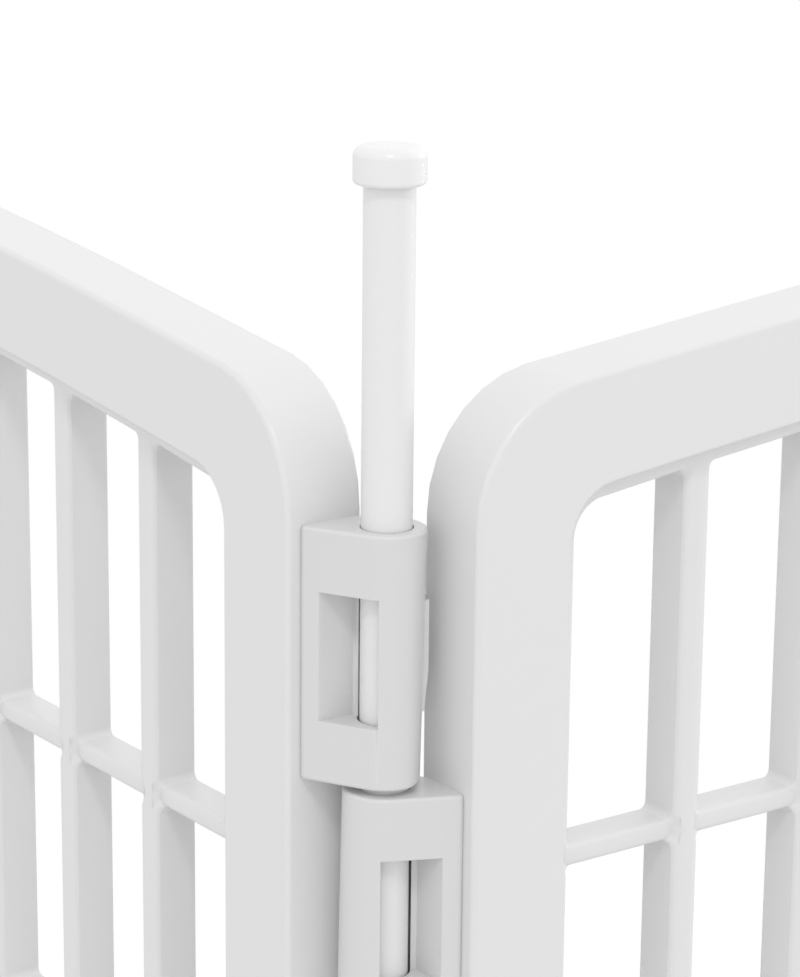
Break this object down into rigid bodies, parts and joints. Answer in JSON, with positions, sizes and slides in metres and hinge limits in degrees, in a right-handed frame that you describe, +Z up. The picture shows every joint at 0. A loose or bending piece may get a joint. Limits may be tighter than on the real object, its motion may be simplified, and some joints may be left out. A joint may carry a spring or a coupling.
{
  "type": "pet playpen",
  "caption": "Square folding pet pen of moulded grille panels on lift-out corner rods, with a swinging door held by slide bolts.",
  "frame": {"origin": "centre of the pen's footprint, on the floor", "axes": "+Z up; the door panel faces -Y; the lifted rod stands at the +X, -Y corner"},
  "size_m": [0.8886, 0.9042, 0.6413],
  "materials": {
    "white_plastic": "satin moulded white plastic with a fine grain",
    "rod_plastic": "smooth extruded white plastic tube, low gloss",
    "cap_plastic": "smooth moulded white plastic, low gloss",
    "foot_rubber": "matt grey rubber"
  },
  "bodies": {
    "front": {"front_panel_left": "white_plastic", "front_panel_right": "white_plastic", "front_panel_head": "white_plastic", "front_panel_sill": "white_plastic", "front_foot_a": "foot_rubber", "front_foot_b": "foot_rubber", "bolt_keeper_upper": "white_plastic", "bolt_keeper_lower": "white_plastic"},
    "right": {"right_panel": "white_plastic", "right_foot_a": "foot_rubber", "right_foot_b": "foot_rubber"},
    "back": {"back_panel": "white_plastic", "back_foot_a": "foot_rubber", "back_foot_b": "foot_rubber"},
    "left": {"left_panel": "white_plastic", "left_foot_a": "foot_rubber", "left_foot_b": "foot_rubber"},
    "door": {"door_leaf": "white_plastic", "door_pin_upper": "rod_plastic", "door_pin_lower": "rod_plastic", "bolt_guide_upper": "white_plastic", "bolt_guide_lower": "white_plastic"},
    "bolt_upper": {"bolt_bar_upper": "cap_plastic", "bolt_knob_upper": "cap_plastic"},
    "bolt_lower": {"bolt_bar_lower": "cap_plastic", "bolt_knob_lower": "cap_plastic"},
    "rod_1": {"rod_1": "rod_plastic", "cap_1": "cap_plastic"},
    "rod_2": {"rod_2": "rod_plastic", "cap_2": "cap_plastic"},
    "rod_3": {"rod_3": "rod_plastic", "cap_3": "cap_plastic"},
    "rod_4": {"rod_4": "rod_plastic", "cap_4": "cap_plastic"}
  },
  "joints": [
    {"name": "fold_1", "type": "hinge", "parent": "front", "child": "right", "pos_m": [0.424, -0.4162, 0.3], "axis": [0, 0, 1], "range_deg": [-70, 70]},
    {"name": "fold_2", "type": "hinge", "parent": "right", "child": "back", "pos_m": [0.424, 0.4318, 0.3], "axis": [0, 0, 1], "range_deg": [-70, 70]},
    {"name": "fold_4", "type": "hinge", "parent": "front", "child": "left", "pos_m": [-0.424, -0.4162, 0.3], "axis": [0, 0, 1], "range_deg": [-70, 70]},
    {"name": "door_swing", "type": "hinge", "parent": "front", "child": "door", "pos_m": [-0.1495, -0.4285, 0.25], "axis": [0, 0, -1], "range_deg": [0, 100]},
    {"name": "bolt_upper_slide", "type": "slide", "parent": "door", "child": "bolt_upper", "axis": [1, 0, 0], "range_m": [0, 0.016]},
    {"name": "bolt_lower_slide", "type": "slide", "parent": "door", "child": "bolt_lower", "axis": [1, 0, 0], "range_m": [0, 0.016]},
    {"name": "rod_1_slide", "type": "slide", "parent": "front", "child": "rod_1", "axis": [0, 0, 1], "range_m": [-0.0819, 0.4]},
    {"name": "rod_2_slide", "type": "slide", "parent": "right", "child": "rod_2", "axis": [0, 0, 1], "range_m": [0, 0.4836]},
    {"name": "rod_3_slide", "type": "slide", "parent": "back", "child": "rod_3", "axis": [0, 0, 1], "range_m": [0, 0.4836]},
    {"name": "rod_4_slide", "type": "slide", "parent": "left", "child": "rod_4", "axis": [0, 0, 1], "range_m": [0, 0.4836]}
  ],
  "couplings": [
    {"joint": "fold_4", "follows": "fold_1", "ratio": 1},
    {"joint": "fold_2", "follows": "fold_1", "ratio": -1}
  ]
}
